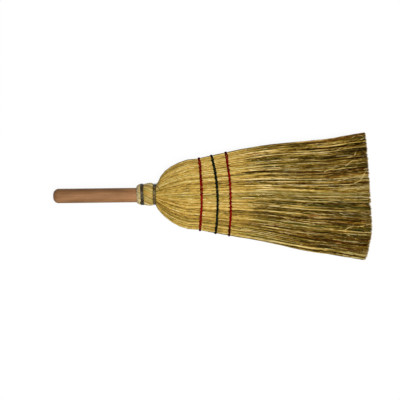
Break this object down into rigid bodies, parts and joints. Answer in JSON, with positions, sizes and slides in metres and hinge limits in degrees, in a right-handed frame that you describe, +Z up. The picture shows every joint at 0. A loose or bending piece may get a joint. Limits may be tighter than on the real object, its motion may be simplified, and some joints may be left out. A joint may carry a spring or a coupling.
{
  "type": "straw broom",
  "caption": "Hand broom of sewn straw: a turned wooden handle, a collar of stalk ends bound with wire, a full shoulder, twine rows and a long flared skirt.",
  "frame": {"origin": "on the resting plane, under the middle of the whole broom's box; the broom lies flat on its back face", "axes": "+X runs from the handle's butt to the bristle tips, +Y across the broom, +Z up through its front face"},
  "size_m": [0.572, 0.2282, 0.0488],
  "materials": {
    "handle_wood": "turned, sanded, bare",
    "nail_steel": "dull bright",
    "collar_straw": "dry stalks, cut ends",
    "binding_wire": "annealed, dark with bright rubbed tops",
    "inner_straw": "dry straw",
    "cover_straw": "smooth golden straw",
    "red_twine": "waxed twisted twine",
    "green_twine": "waxed twisted twine",
    "bristle_straw": "fine dry straw, cut tips"
  },
  "bodies": {
    "root": {"handle": "handle_wood", "start_nail": "nail_steel", "finish_nail": "nail_steel", "collar_stalks": "collar_straw", "collar_wire": "binding_wire", "neck_wire": "binding_wire", "inner_bundle": "inner_straw", "inner_wire": "binding_wire", "side_bundle_left": "inner_straw", "side_bundle_right": "inner_straw", "straw_cover_front": "cover_straw", "straw_cover_back": "cover_straw", "red_twine_near": "red_twine", "green_twine": "green_twine", "red_twine_far": "red_twine", "bristles_front_left": "bristle_straw", "bristles_back_left": "bristle_straw", "bristles_front_right": "bristle_straw", "bristles_back_right": "bristle_straw"}
  },
  "joints": []
}
